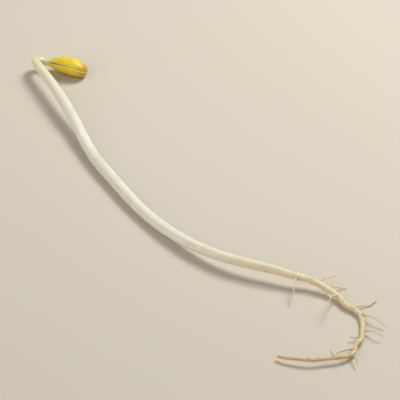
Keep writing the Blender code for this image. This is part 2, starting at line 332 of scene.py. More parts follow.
def smooth_step(low, high, value):
    """A share that goes softly from 0 at low to 1 at high."""
    share = np.clip((value - low) / (high - low), 0, 1)
    return share * share * (3 - 2 * share)


def grow_ring(bm, edges):
    """Extrudes a closed ring of edges, and gives the new ring's corners and edges."""
    grown = bmesh.ops.extrude_edge_only(bm, edges=edges)["geom"]
    verts = [part for part in grown if isinstance(part, bmesh.types.BMVert)]
    new = set(verts)
    edges = [
        part
        for part in grown
        if isinstance(part, bmesh.types.BMEdge) and new.issuperset(part.verts)
    ]
    return verts, edges


def sweep(bm, rings, straight_rings):
    """Extrudes a ring through rings, an array of ring by corner by coordinate, and closes both its ends.

    Each corner also keeps where it would be if the tube were laid out straight.
    """
    straight = bm.verts.layers.float_vector["straight"]
    corner = bm.verts.layers.int["corner"]
    verts = bmesh.ops.create_circle(bm, cap_ends=True, segments=rings.shape[1], radius=1.0)["verts"]
    for index, vert in enumerate(verts):
        vert[corner] = index
    edges = list({edge for vert in verts for edge in vert.link_edges})
    for index, (ring, straight_ring) in enumerate(zip(rings, straight_rings)):
        if index:
            verts, edges = grow_ring(bm, edges)
        for vert in verts:
            vert.co = ring[vert[corner]]
            vert[straight] = straight_ring[vert[corner]]
    bmesh.ops.holes_fill(bm, edges=edges)


def new_tube_mesh():
    """An empty mesh whose corners keep their place in the straight tube and in their ring."""
    bm = bmesh.new()
    bm.verts.layers.float_vector.new("straight")
    bm.verts.layers.int.new("corner")
    return bm


def ring_points(centres, side, up, radii, angles):
    """Corners round each centre, as an array of ring by corner by coordinate."""
    across = (radii * np.cos(angles))[:, :, None] * side[:, None, :]
    upward = (radii * np.sin(angles))[:, :, None] * up[:, None, :]
    return centres[:, None, :] + across + upward


def straight_points(distances, radii, angles):
    """Corners round a straight tube along X, as rings."""
    along = np.broadcast_to(distances[:, None], radii.shape)
    return np.stack([along, radii * np.cos(angles), radii * np.sin(angles)], axis=2)


def finish(bm, name, material, slot, *nodes):
    """Makes a piece of the mesh, which lies in millimetres from the hook, and puts it in the frame."""
    for vert in bm.verts:
        vert.co = (vert.co + HOOK_POINT) * MM
        vert.co.z = max(vert.co.z, 0.0)
    bmesh.ops.recalc_face_normals(bm, faces=bm.faces)
    if bm.calc_volume(signed=True) < 0:
        bmesh.ops.reverse_faces(bm, faces=bm.faces)
    mesh = bpy.data.meshes.new(name)
    bm.to_mesh(mesh)
    bm.free()
    mesh.materials.append(material)
    mesh.shade_smooth()
    piece = bpy.data.objects.new(name, mesh)
    bpy.context.scene.collection.objects.link(piece)
    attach(piece, BODY)
    if nodes:
        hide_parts(*nodes)
    return piece


def stem_stations():
    """The distances of the stem's rings, closer together in the hook and at both ends."""
    turns = np.radians(np.linspace(END_TURN, 0, END_RINGS, endpoint=False))
    neck = -NECK_LENGTH + (NECK_LENGTH - NECK_SHRINKS_FROM) * (1 - np.sin(turns))
    shank = np.arange(-NECK_SHRINKS_FROM, HOOK_REACH, HOOK_RING_SPACING)
    body = np.linspace(HOOK_REACH, ROUTE_LENGTH, round((ROUTE_LENGTH - HOOK_REACH) / STEM_RING_SPACING))
    tip = ROUTE_LENGTH + tip_length() * np.sin(turns[::-1])
    return np.concatenate([neck, shank, body, tip])


def tip_length():
    """How long the root's rounded tip is."""
    return float(diameter_at(ROUTE_LENGTH)) / 2 * ROOT_TIP_STRETCH


def smooth_radius_at(distances):
    """The stem's radius without its relief, drawn in at the neck and rounded off at both ends."""
    radii = diameter_at(distances) / 2
    narrow = smooth_step(NECK_NARROWS_FROM, -NECK_SHRINKS_FROM, distances)
    radii = radii * (1 - (1 - NECK_WAIST) * narrow)
    inside = np.clip((-NECK_SHRINKS_FROM - distances) / (NECK_LENGTH - NECK_SHRINKS_FROM), 0, 1)
    beyond = np.clip((distances - ROUTE_LENGTH) / tip_length(), 0, 1)
    return radii * np.sqrt(1 - inside**2) * np.sqrt(1 - beyond**2)


def noise_at(x, y, z):
    """Smooth noise from 0 to 1."""
    return 0.5 + 0.5 * noise.noise(Vector((x, y, z)))


def stray_at(place, start):
    """Smooth noise from -1 to 1 along each of X, Y and Z."""
    return [2 * noise_at(place, start, STRAY_AXIS_STEP * axis) - 1 for axis in range(3)]


def stem_relief(distances, angles):
    """How far the skin is drawn in at each distance and angle, as a share of the radius."""
    ribs = 0.5 + 0.5 * np.cos(RIBS * angles[None, :] + RIB_TWIST * RIBS * distances[:, None])
    crease_start, crease_full, crease_fades, crease_end = CREASE_SPAN
    creased = smooth_step(crease_start, crease_full, distances) * smooth_step(
        crease_end, crease_fades, distances
    )
    inner = np.clip(-np.cos(angles), 0, 1) ** 2
    folds = 0.5 + 0.5 * np.cos(2 * math.pi * distances / CREASE_LENGTH)
    relief = RIB_DEPTH * ribs + CREASE_DEPTH * (creased * folds)[:, None] * inner[None, :]
    wrinkled = smooth_step(*WRINKLES_SET_IN, distances)
    for i, distance in enumerate(distances):
        for j, angle in enumerate(angles):
            x, y = math.cos(angle), math.sin(angle)
            relief[i, j] += LUMP_DEPTH * noise_at(distance / LUMP_LENGTH, x, y)
            if wrinkled[i]:
                folds = noise_at(distance / WRINKLE_LENGTH, WRINKLES_AROUND * x, WRINKLES_AROUND * y)
                relief[i, j] += WRINKLE_DEPTH * wrinkled[i] * folds
    return relief


def make_stem(material):
    """The stem from its neck between the seed leaves to the root's tip."""
    distances = stem_stations()
    angles = np.linspace(0, 2 * math.pi, STEM_SIDES, endpoint=False)
    _, side, up = directions_at(distances)
    radii = smooth_radius_at(distances)[:, None] * SKIN_SHARE * (1 - stem_relief(distances, angles))
    rings = ring_points(axis_at(distances), side, up, radii, angles)
    bm = new_tube_mesh()
    sweep(bm, rings, straight_points(distances, radii, angles))
    return finish(bm, "stem_and_root", material, "stem", "stem_with_root")


# How a side root flares where it leaves the root, and wanders on its way. The flare and the tip reach
# over so many of its radii, and the tip's cut is where on its rounded end the last ring lies, as a
# share of that end. Its tan and shade shift is how many millimetres further along the root its colour
# is found. It makes the side roots a little tanner, partly as their own tone and partly as painted shade
# that tones down how bright they look where the light falls on them. Its share is how much of its
# solid's length it has, so that its wandering tip stays inside the solids' box. The steps set the noise
# of one side root apart from the next one's.
FLARE = 0.4
FLARE_REACH = 1.5
TIP_REACH = 3.5
TIP_CUT = 0.995
SIDE_ROOT_TAN_AND_SHADE = 9.0
SIDE_ROOT_SHARE = 0.975
WANDER = 0.32
WANDER_LENGTH = 2.0
WANDER_STEP = 7.3
SIDE_ROOT_LUMPS = 0.25
LUMPS_PER_MM = 1.4
LUMP_STEP = 3.1
LUMP_SLICE = 0.5

# The youngest side roots, strewn over the root's sides and top. The turn is in degrees round the root.
# The lengths are the least, the greatest and the likeliest, and sway and sag are shares of the length.
ROOTLETS = 22
ROOTLET_SEED = 16
ROOTLET_SPAN = (92.0, 138.0)
ROOTLET_TURN = (-15, 195)
ROOTLET_LEAN = (0.1, 0.7)
ROOTLET_LENGTHS = (0.15, 2.6, 0.5)
ROOTLET_RADII = (0.055, 0.095)
ROOTLET_SWAY = 0.45
ROOTLET_SAG = 0.3
ROOTLET_RINGS = 20


def side_root(bm, index, dice):
    """One fine side root, which leaves the root and bends over towards the surface."""
    first, last = SIDE_ROOT_SPAN
    distance = first + (last - first) * (index + dice.uniform(*SIDE_ROOT_PLACES)) / SIDE_ROOTS
    here, ahead = (Vector(p) for p in route_axis(np.array([distance, distance + TANGENT_STEP])))
    forward = (ahead - here).normalized()
    side = forward.cross(Vector((0, 0, 1))).normalized() * dice.choice((-1, 1))
    rise = math.radians(dice.uniform(*SIDE_ROOT_RISE))
    outward = (side * math.cos(rise) + Vector((0, 0, math.sin(rise)))).normalized()
    direction = (outward + forward * dice.uniform(*SIDE_ROOT_LEAN)).normalized()
    longest = np.interp(index, (0, SIDE_ROOTS - 1), SIDE_ROOT_LENGTHS)
    length = float(longest) * dice.uniform(*SIDE_ROOT_LENGTH_SPREAD) * SIDE_ROOT_SHARE
    sway = dice.uniform(-SIDE_ROOT_SWAY, SIDE_ROOT_SWAY)
    buried = diameter_at(distance) / 2 / direction.cross(forward).length
    run = fine_run(buried, length, SIDE_ROOT_RINGS)
    reach = run / length
    radii = np.interp(reach, (0, 1), SIDE_ROOT_DIAMETERS) / 2
    points = np.array(here) + np.outer(run, direction)
    points += np.outer(sway * length * reach**2, forward)
    points[:, 2] -= SIDE_ROOT_SAG * length * reach**2
    grow_fine_root(bm, points, radii, run, buried, distance, index)


def fine_run(buried, end, rings):
    """How far along a fine root its rings are, closer together where it comes out and at its tip."""
    share = (1 - np.cos(np.linspace(0, math.pi, rings))) / 2
    return buried / 2 + (end - buried / 2) * share


def grow_fine_root(bm, points, radii, run, buried, distance, index):
    """Sweeps a fine root through points.

    It comes out of the skin after its buried length, and flares there. Then it wanders a little, and
    tapers at its tip.
    """
    free = smooth_step(0, WANDER_LENGTH, run)
    for i, way in enumerate(run):
        points[i] += np.array(stray_at(way / WANDER_LENGTH, WANDER_STEP * index)) * WANDER * free[i]
    points[:, 2] = np.maximum(points[:, 2], LEAST_LIFT + radii)
    _, side, up = square_to(np.gradient(points, axis=0))
    left = (run[-1] - run) / (TIP_REACH * radii[-1])
    taper = np.sqrt(1 - np.clip(1 - left, 0, TIP_CUT) ** 2)
    lumps = [
        1 - SIDE_ROOT_LUMPS * noise_at(way * LUMPS_PER_MM, LUMP_STEP * index, LUMP_SLICE) for way in run
    ]
    flare = 1 + FLARE * np.exp(-np.maximum(run - buried, 0) / (FLARE_REACH * radii[0]))
    radii = radii * taper * lumps * flare
    angles = np.linspace(0, 2 * math.pi, SIDE_ROOT_SIDES, endpoint=False)
    radii = np.repeat(radii[:, None], SIDE_ROOT_SIDES, axis=1)
    rings = ring_points(points, side, up, radii, angles)
    # The colour is read further along the root, so it is tanner: partly the side roots' own tone, partly
    # painted shade.
    sweep(bm, rings, straight_points(distance + SIDE_ROOT_TAN_AND_SHADE + run, radii, angles))


def rootlet(bm, index, dice):
    """A side root that has only just broken out of the skin."""
    distance = dice.uniform(*ROOTLET_SPAN)
    here, ahead = (Vector(p) for p in route_axis(np.array([distance, distance + TANGENT_STEP])))
    forward = (ahead - here).normalized()
    side = forward.cross(Vector((0, 0, 1))).normalized()
    turn = math.radians(dice.uniform(*ROOTLET_TURN))
    outward = side * math.cos(turn) + side.cross(forward) * math.sin(turn)
    direction = (outward + forward * dice.uniform(*ROOTLET_LEAN)).normalized()
    buried = diameter_at(distance) / 2 / direction.cross(forward).length
    run = fine_run(buried, buried + dice.triangular(*ROOTLET_LENGTHS), ROOTLET_RINGS)
    radii = np.full(ROOTLET_RINGS, dice.uniform(*ROOTLET_RADII))
    points = np.array(here) + np.outer(run, direction)
    points += np.outer(dice.uniform(-ROOTLET_SWAY, ROOTLET_SWAY) * run**2 / run[-1], forward)
    points[:, 2] -= ROOTLET_SAG * run**2 / run[-1]
    grow_fine_root(bm, points, radii, run, buried, distance, index)


def make_side_roots(material):
    """All side roots, each where its solid is on the root, and the rootlets between them."""
    bm = new_tube_mesh()
    dice = random.Random(SIDE_ROOT_SEED)
    for index in range(SIDE_ROOTS):
        side_root(bm, index, dice)
    dice = random.Random(ROOTLET_SEED)
    for index in range(ROOTLETS):
        rootlet(bm, SIDE_ROOTS + index, dice)
    return finish(bm, "side_roots", material, "stem", "stem_with_root")


# The seed leaves start so many millimetres inside the stem's neck, narrower by the dip, and come out of
# its skin at a low angle. Where the reach ends they are as wide as their solids.
LEAF_ROOT = 0.55
LEAF_ROOT_DIP = 0.13
LEAF_ROOT_REACH = 1.3

# The slit, which the fine seed leaves nearly close, and how their skin undulates. The side steps set
# the noise of one seed leaf apart from the other's.
SLIT_HALF_GAPS = (
    (0.0, 0.01), (0.1, 0.03), (0.22, 0.06), (0.4, 0.035), (0.6, 0.02), (0.85, 0.02), (1.0, 0.03),
)
RIM_FLAT = 0.15
SWELL_LENGTH = 2.4
SWELL_DEPTH = 0.05
SWELLS_AROUND = 1.6
SWELL_SIDE_STEP = 5.0
VEIN_COUNT = 9.0
VEINS_ALONG = 1.5
VEIN_SIDE_STEP = 3.0
VEIN_DEPTH = 0.012
RIM_WAVE_LENGTH = 1.9
RIM_WAVES_AROUND = 2
RIM_WAVE = 0.045
TINY = 1e-6


def seed_leaf_share(x):
    """How wide or thick a seed leaf is at x millimetres from its base, as a share of its most."""
    place = max(0.0, x / HEAD_LENGTH)
    if place >= SEED_LEAF_WIDEST:
        reach = min(1.0, (place - SEED_LEAF_WIDEST) / (1 - SEED_LEAF_WIDEST))
        return (1 - reach**SEED_LEAF_END_POWER) ** (1 / SEED_LEAF_END_POWER)
    rise = math.sin(place / SEED_LEAF_WIDEST * math.pi / 2) ** SEED_LEAF_RISE
    share = SEED_LEAF_BASE_SHARE + (1 - SEED_LEAF_BASE_SHARE) * rise
    run = (x + LEAF_ROOT) / (LEAF_ROOT_REACH + LEAF_ROOT)
    return share - LEAF_ROOT_DIP * max(0.0, 1 - run) ** 2


def seed_leaf_point(unit, side):
    """Where a point of a unit ball goes on the seed leaf above the slit (side 1) or below it (side -1).

    It also gives the place along the leaf, from side to side and from the inner face to the outer.
    """
    run = min(1.0, max(0.0, (1 + unit.z) / 2))
    around = math.hypot(unit.x, unit.y)
    across, up = (unit.x / around, unit.y / around) if around > TINY else (0.0, 0.0)
    x = run * (HEAD_LENGTH + LEAF_ROOT) - LEAF_ROOT
    place = max(0.0, x / HEAD_LENGTH)
    share = seed_leaf_share(x)
    if run < SEED_LEAF_BASE_ROUNDING:
        share *= math.sqrt(1 - (1 - run / SEED_LEAF_BASE_ROUNDING) ** 2)
    swell = SWELL_DEPTH * noise_at(
        x / SWELL_LENGTH, across * SWELLS_AROUND, up * SWELLS_AROUND + SWELL_SIDE_STEP * side
    )
    veins = VEIN_DEPTH * noise_at(place * VEINS_ALONG, across * VEIN_COUNT, VEIN_SIDE_STEP * side)
    share_here = share * (1 - swell)
    margin = MARGIN_HEIGHT * share_here
    if up > 0:
        height = margin + (SEED_LEAF_THICKNESS * share_here - margin) * up * (1 - veins * up)
    else:
        hollow = np.interp(place, *zip(*HOLLOW_OUTLINE)) * min(1.0, share * 2)
        sunk = max(0.0, (up**2 - RIM_FLAT) / (1 - RIM_FLAT))
        height = margin * across**MARGIN_POWER + hollow * sunk
    gap = np.interp(place, *zip(*SLIT_HALF_GAPS))
    wave = RIM_WAVE * (noise_at(x / RIM_WAVE_LENGTH, across * RIM_WAVES_AROUND, 0.0) - 0.5)
    y = share_here * HEAD_WIDTH / 2 * across
    z = side * (height + gap) + wave + arch_at(max(x, 0))
    return Vector((x, y, z)), Vector((x / HEAD_LENGTH, across, up))


def make_seed_leaf(name, side, material, node):
    """One thick seed leaf: round outside, nearly flat with a hollow inside, and narrow at its stalk."""
    bm = bmesh.new()
    leaf_place = bm.verts.layers.float_vector.new("leaf_place")
    bmesh.ops.create_uvsphere(
        bm, u_segments=SEED_LEAF_SEGMENTS, v_segments=SEED_LEAF_RINGS, radius=1.0
    )
    swung = Matrix.Rotation(math.radians(SEED_LEAF_SWINGS[side < 0]), 4, "Z")
    place = head_place() @ swung
    for vert in bm.verts:
        vert.co, vert[leaf_place] = seed_leaf_point(vert.co, side)
        vert.co = place @ vert.co
    return finish(bm, name, material, "seed_leaf", node)


# The bud leaves' midrib and side veins. Depths are in millimetres. The midrib's width is a share of half
# the leaf's, and the slant is how many veins further along a vein meets the rim.
MIDRIB_WIDTH = 0.12
MIDRIB_DEPTH = 0.05
BUD_VEINS = 6
BUD_VEIN_DEPTH = 0.018
BUD_VEIN_SLANT = 0.5


def bud_leaf(bm, side):
    """One folded first leaf: a pointed lens with a midrib, which lies along the stalk's line."""
    made = bmesh.ops.create_uvsphere(bm, u_segments=BUD_SEGMENTS, v_segments=BUD_RINGS, radius=1.0)
    leaf_place = bm.verts.layers.float_vector["leaf_place"]
    for vert in made["verts"]:
        place = (1 + vert.co.z) / 2
        taper = 1 - BUD_LEAF_TAPER * place**2
        across, up = vert.co.x, vert.co.y
        rib = MIDRIB_DEPTH * math.exp(-((across / MIDRIB_WIDTH) ** 2))
        slant = place * BUD_VEINS - abs(across) * BUD_VEIN_SLANT
        veins = BUD_VEIN_DEPTH * (0.5 + 0.5 * math.cos(2 * math.pi * slant))
        height = up * max(0.0, BUD_LEAF_THICKNESS / 2 - (rib + veins) * abs(up))
        vert.co = Vector((
            place * BUD_LEAF_LENGTH,
            across * taper * BUD_LEAF_WIDTH / 2,
            height + side * BUD_LEAF_OFFSET,
        ))
        vert[leaf_place] = Vector((place, across, slant))
    turn = Matrix.Rotation(math.radians(-side * BUD_LEAF_SPLAY), 4, "Y")
    shift = Matrix.Translation((BUD_STALK_LENGTH - BUD_LEAF_SINK, 0, 0))
    bmesh.ops.transform(bm, matrix=shift @ turn, verts=made["verts"])


def bud_stalk(bm):
    """The short stalk, drawn out of a ring."""
    shares = np.array([BUD_STALK_END, *BUD_STALK_PROFILE, BUD_STALK_END])
    places = np.linspace(0, BUD_STALK_LENGTH, len(BUD_STALK_PROFILE))
    places = np.concatenate([places[:1], places, places[-1:] + BUD_STALK_BULGE])
    ring = bmesh.ops.create_circle(bm, cap_ends=True, segments=BUD_SEGMENTS, radius=1.0)["verts"]
    bmesh.ops.rotate(bm, verts=ring, matrix=Matrix.Rotation(math.radians(90), 3, "Y"))
    edges = list({edge for vert in ring for edge in vert.link_edges})
    scale = 1.0
    bmesh.ops.translate(bm, verts=ring, vec=(places[0], 0, 0))
    for place, share in zip(places, shares):
        size = share * BUD_STALK_DIAMETER / 2
        bmesh.ops.scale(bm, verts=ring, vec=(1, size / scale, size / scale))
        here = sum(vert.co.x for vert in ring) / len(ring)
        bmesh.ops.translate(bm, verts=ring, vec=(place - here, 0, 0))
        scale = size
        if place < places[-1]:
            ring, edges = grow_ring(bm, edges)
    bmesh.ops.holes_fill(bm, edges=edges)


def make_bud(material):
    """The stalk with its two folded leaves, between the seed leaves, bowed with the head."""
    bm = bmesh.new()
    bm.verts.layers.float_vector.new("leaf_place")
    bud_stalk(bm)
    for side in (1, -1):
        bud_leaf(bm, side)
    place = head_place() @ Matrix.Translation((BUD_START, 0, 0))
    for vert in bm.verts:
        vert.co.z += arch_at(vert.co.x + BUD_START)
        vert.co = place @ vert.co
    return finish(bm, "first_leaves", material, "bud", "shoot_bud")


# Materials. Colours are linear.
NECK_GREEN = (0.87, 0.82, 0.49)
NECK_IVORY = (0.89, 0.86, 0.65)
WATERY_GREEN = (0.64, 0.63, 0.46)
STEM_IVORY = (0.93, 0.91, 0.79)
STEM_WHITE = (0.95, 0.94, 0.88)
ROOT_CREAM = (0.88, 0.80, 0.60)
ROOT_TAN = (0.72, 0.56, 0.33)
ROOT_TIP = (0.55, 0.37, 0.17)
STEM_COLOURS = (
    (0.0, NECK_GREEN),
    (1.5, NECK_GREEN),
    (5.0, NECK_IVORY),
    (12.0, STEM_IVORY),
    (26.0, STEM_WHITE),
    (72.0, STEM_WHITE),
    (96.0, ROOT_CREAM),
    (122.0, ROOT_TAN),
    (141.0, ROOT_TIP),
)
STEM_SCATTER = (1.0, 0.84, 0.55)
LEAF_GOLD = (0.88, 0.62, 0.014)
LEAF_LEMON = (0.88, 0.74, 0.055)
LEAF_PALE = (0.88, 0.77, 0.27)
LEAF_BASE = (0.88, 0.80, 0.40)
LEAF_OCHRE = (0.50, 0.27, 0.03)
SPECK_BROWN = (0.22, 0.10, 0.03)
LEAF_SCATTER = (1.0, 0.68, 0.2)
BUD_GREEN = (0.78, 0.74, 0.25)
BUD_CREAM = (0.84, 0.80, 0.48)
FLOOR_CREAM = (0.66, 0.62, 0.54)
FLOOR_SHADE = (0.62, 0.57, 0.48)

# How much light the flesh lets in. It fades out towards the joint of neck and seed leaf, where light
# that is lost in the other piece would show as a grey ring: from these distances along the stem in
# millimetres, and along a seed leaf as shares of its length. It is less in a fine root, by its radius
# in millimetres, as its buried end would show grey too.
FLESH_IOR = 1.42
WATER_IOR = 1.33
STEM_LIGHT_SHARE = 0.85
NECK_LETS_LIGHT_IN = (-0.5, 1.6)
THICK_LETS_LIGHT_IN = (0.15, 0.42)
FINE_LIGHT_SHARE = 0.5
LEAF_LIGHT_SHARE = 0.45
LEAF_LETS_LIGHT_IN = (0.05, 0.2)
BUD_LIGHT_SHARE = 0.4

# Where a pattern's soft edge lies in its noise, and how far a streak starts beyond the one before.
STREAK_EDGE = (0.3, 0.7)
STREAK_STAGGER = 0.6
PATCH_EDGE = (-0.12, 0.12)

# The stem and root's finish. Root skin sets in between these distances along it. Shares say how strongly
# each pattern colours the skin, and the rest how patterns change its roughness, its film of water and
# its relief, which is in millimetres.
ROOTY_SPAN = (84.0, 112.0)
STRAND_SHARE = 0.26
FIBRE_SHARE = 0.28
CLEAR_SHARE = 0.24
STAIN_SHARE = 0.45
DOT_SHARE = 0.6
STEM_ROUGHNESS = 0.36
CLEAR_ROUGHENS = -0.07
ROOTY_ROUGHENS = 0.16
STEM_FILM = 0.6
CLEAR_WETS = 0.4
ROOTY_WETS = -0.6
FINE_FIBRE_RISE = 0.35
STAIN_RISE = 0.8
STEM_RELIEF = 0.024

# The seed leaves' finish. Spans are along a leaf from its stalk, or from its rim to its middle, in
# shares. The first of each pair is where the effect starts, and the second where it is full.
LEAF_MOTTLE_SHARE = 0.55
LEAF_VEIN_SHARE = 0.28
LEAF_END_SPAN = (0.72, 1.0)
LEAF_END_SHARE = 0.75
LEAF_RIM_SPAN = (0.24, 0.03)
LEAF_RIM_SHARE = 0.38
LEAF_INNER_SPAN = (0.0, -0.2)
LEAF_STALK_SPAN = (0.22, 0.01)
LEAF_SPECK_SHARE = 0.8
LEAF_ROUGHNESS = 0.34
LEAF_MOTTLE_ROUGHENS = 0.12
LEAF_FILM = 0.4
LEAF_MOTTLE_WETS = -0.2
PORE_RISE = 0.15
LEAF_RELIEF = 0.007

# The first leaves' finish, and the floor's.
BUD_VEIN_EDGE = (0.3, 1.0)
BUD_VEIN_SHARE = 0.6
BUD_MOTTLE_SHARE = 0.3
BUD_ROUGHNESS = 0.38
BUD_MOTTLE_ROUGHENS = 0.15
BUD_RELIEF = 0.008
FLOOR_CLOUD_SHARE = 0.05
FLOOR_GLOSS = 0.25

# The Mix node's colour sockets, by their places.
MIX_FIRST = 6
MIX_SECOND = 7
MIX_RESULT = 2


def new_material(name, roughness):
    """A material with its shader, and the shader's uniform numbers still to set."""
    material = bpy.data.materials.new(name)
    material.use_nodes = True
    tree = material.node_tree
    shader = tree.nodes["Principled BSDF"]
    shader.inputs["Roughness"].default_value = roughness
    return material, tree, shader


def set_flesh(shader, weight, scatter, depth, wet, wet_roughness):
    """The uniform numbers of moist plant flesh, which lets light in and wears a thin film of water."""
    shader.inputs["Subsurface Weight"].default_value = weight
    shader.inputs["Subsurface Radius"].default_value = scatter
    shader.inputs["Subsurface Scale"].default_value = depth * MM
    shader.inputs["IOR"].default_value = FLESH_IOR
    shader.inputs["Coat Weight"].default_value = wet
    shader.inputs["Coat Roughness"].default_value = wet_roughness
    shader.inputs["Coat IOR"].default_value = WATER_IOR


def add_node(tree, kind, **settings):
    """A new node with these settings."""
    node = tree.nodes.new(kind)
    for name, value in settings.items():
        setattr(node, name, value)
    return node


def colour_ramp(tree, stops, factor):
    """A ramp through stops, each a place from 0 to 1 and a colour."""
    ramp = add_node(tree, "ShaderNodeValToRGB")
    elements = ramp.color_ramp.elements
    while len(elements) > 1:
        elements.remove(elements[0])
    for index, (place, colour) in enumerate(stops):
        element = elements[0] if index == 0 else elements.new(place)
        element.position = place
        element.color = (*colour, 1.0)
    tree.links.new(factor, ramp.inputs["Fac"])
    return ramp.outputs["Color"]


def mixed(tree, factor, first, second):
    """Two colours mixed by a factor, where the first is a socket or a plain colour."""
    mix = add_node(tree, "ShaderNodeMix", data_type="RGBA")
    tree.links.new(factor, mix.inputs[0])
    if isinstance(first, bpy.types.NodeSocket):
        tree.links.new(first, mix.inputs[MIX_FIRST])
    else:
        mix.inputs[MIX_FIRST].default_value = (*first, 1.0)
    mix.inputs[MIX_SECOND].default_value = (*second, 1.0)
    return mix.outputs[MIX_RESULT]


def tinted(tree, colour, tint, mask, share):
    """A colour that takes on this share of a tint where the mask is 1."""
    return mixed(tree, calculated(tree, "MULTIPLY", mask, share), colour, tint)


def calculated(tree, operation, *values, clamp=False):
    """A Math node's result, where each value is a socket or a plain number."""
    math_node = add_node(tree, "ShaderNodeMath", operation=operation, use_clamp=clamp)
    for socket, value in zip(math_node.inputs, values):
        if isinstance(value, bpy.types.NodeSocket):
            tree.links.new(value, socket)
        else:
            socket.default_value = value
    return math_node.outputs[0]


def ranged(tree, value, low, high, to_low=0.0, to_high=1.0):
    """A value taken from one range to another with soft ends."""
    step = add_node(tree, "ShaderNodeMapRange", interpolation_type="SMOOTHSTEP")
    tree.links.new(value, step.inputs["Value"])
    numbers = (low, high, to_low, to_high)
    for name, number in zip(("From Min", "From Max", "To Min", "To Max"), numbers):
        step.inputs[name].default_value = number
    return step.outputs["Result"]


def new_group(name, inputs, outputs):
    """A shader node group with named sockets. Inputs are vectors, or numbers with their defaults."""
    group = bpy.data.node_groups.new(name, "ShaderNodeTree")
    for label, default in inputs.items():
        kind = "NodeSocketVector" if default is None else "NodeSocketFloat"
        socket = group.interface.new_socket(label, in_out="INPUT", socket_type=kind)
        if default is not None:
            socket.default_value = default
    for label in outputs:
        group.interface.new_socket(label, in_out="OUTPUT", socket_type="NodeSocketFloat")
    return group, group.nodes.new("NodeGroupInput").outputs, group.nodes.new("NodeGroupOutput").inputs


def place_group(tree, group, vector, **values):
    """A group in a material, with its vector linked and its numbers set."""
    node = add_node(tree, "ShaderNodeGroup", node_tree=group)
    tree.links.new(vector, node.inputs["Vector"])
    for name, value in values.items():
        node.inputs[name.replace("_", " ").capitalize()].default_value = value
    return node.outputs


def streaks_group():
    """Fine streaks that run along X, such as the fibres of a stem or the veins of a leaf.

    Each starts a little further along than the next, so that no ring shows where they end together.
    """
    group, given, result = new_group("streaks", {"Vector": None, "Along": 0.1, "Across": 3.0}, ["Streak"])
    parts = add_node(group, "ShaderNodeSeparateXYZ")
    group.links.new(given["Vector"], parts.inputs[0])
    along = calculated(group, "MULTIPLY", parts.outputs["X"], given["Along"])
    across = calculated(group, "MULTIPLY", parts.outputs["Y"], given["Across"])
    deep = calculated(group, "MULTIPLY", parts.outputs["Z"], given["Across"])
    stagger = calculated(group, "ADD", across, deep)
    along = calculated(group, "MULTIPLY_ADD", stagger, STREAK_STAGGER, along)
    joined = add_node(group, "ShaderNodeCombineXYZ")
    for axis, scaled in zip("XYZ", (along, across, deep)):
        group.links.new(scaled, joined.inputs[axis])
    texture = add_node(group, "ShaderNodeTexNoise")
    texture.inputs["Scale"].default_value = 1.0
    texture.inputs["Detail"].default_value = 3.0
    texture.inputs["Roughness"].default_value = 0.6
    group.links.new(joined.outputs[0], texture.inputs["Vector"])
    group.links.new(ranged(group, texture.outputs["Fac"], *STREAK_EDGE), result["Streak"])
    return group


def patches_group():
    """Soft patches, where flesh is a little clearer, wetter or darker than round it."""
    group, given, result = new_group("patches", {"Vector": None, "Scale": 200.0, "Cover": 0.5}, ["Patch"])
    texture = add_node(group, "ShaderNodeTexNoise")
    texture.inputs["Detail"].default_value = 2.5
    texture.inputs["Distortion"].default_value = 0.3
    group.links.new(given["Vector"], texture.inputs["Vector"])
    group.links.new(given["Scale"], texture.inputs["Scale"])
    bare = calculated(group, "SUBTRACT", 1.0, given["Cover"])
    above = calculated(group, "SUBTRACT", texture.outputs["Fac"], bare)
    group.links.new(ranged(group, above, *PATCH_EDGE), result["Patch"])
    return group


def specks_group():
    """Small round specks, in few of the cells that they are strewn over."""
    group, given, result = new_group(
        "specks", {"Vector": None, "Scale": 1500.0, "Size": 0.2, "Share": 0.1}, ["Speck"]
    )
    cells = add_node(group, "ShaderNodeTexVoronoi")
    group.links.new(given["Vector"], cells.inputs["Vector"])
    group.links.new(given["Scale"], cells.inputs["Scale"])
    parts = add_node(group, "ShaderNodeSeparateColor")
    group.links.new(cells.outputs["Color"], parts.inputs[0])
    chosen = calculated(group, "LESS_THAN", parts.outputs[0], given["Share"])
    depth = calculated(group, "SUBTRACT", given["Size"], cells.outputs["Distance"])
    inside = calculated(group, "DIVIDE", depth, given["Size"], clamp=True)
    group.links.new(calculated(group, "MULTIPLY", inside, chosen), result["Speck"])
    return group


def read_attribute(tree, name):
    """A place that the mesh keeps, as one vector and as its X, Y and Z."""
    place = add_node(tree, "ShaderNodeAttribute", attribute_name=name).outputs["Vector"]
    parts = add_node(tree, "ShaderNodeSeparateXYZ")
    tree.links.new(place, parts.inputs[0])
    return place, *parts.outputs


def relief(tree, shader, height, depth):
    """Turns a height from 0 to 1 into bumps of this depth in millimetres."""
    bump = add_node(tree, "ShaderNodeBump")
    bump.inputs["Strength"].default_value = 1.0
    bump.inputs["Distance"].default_value = depth * MM
    tree.links.new(height, bump.inputs["Height"])
    tree.links.new(bump.outputs["Normal"], shader.inputs["Normal"])


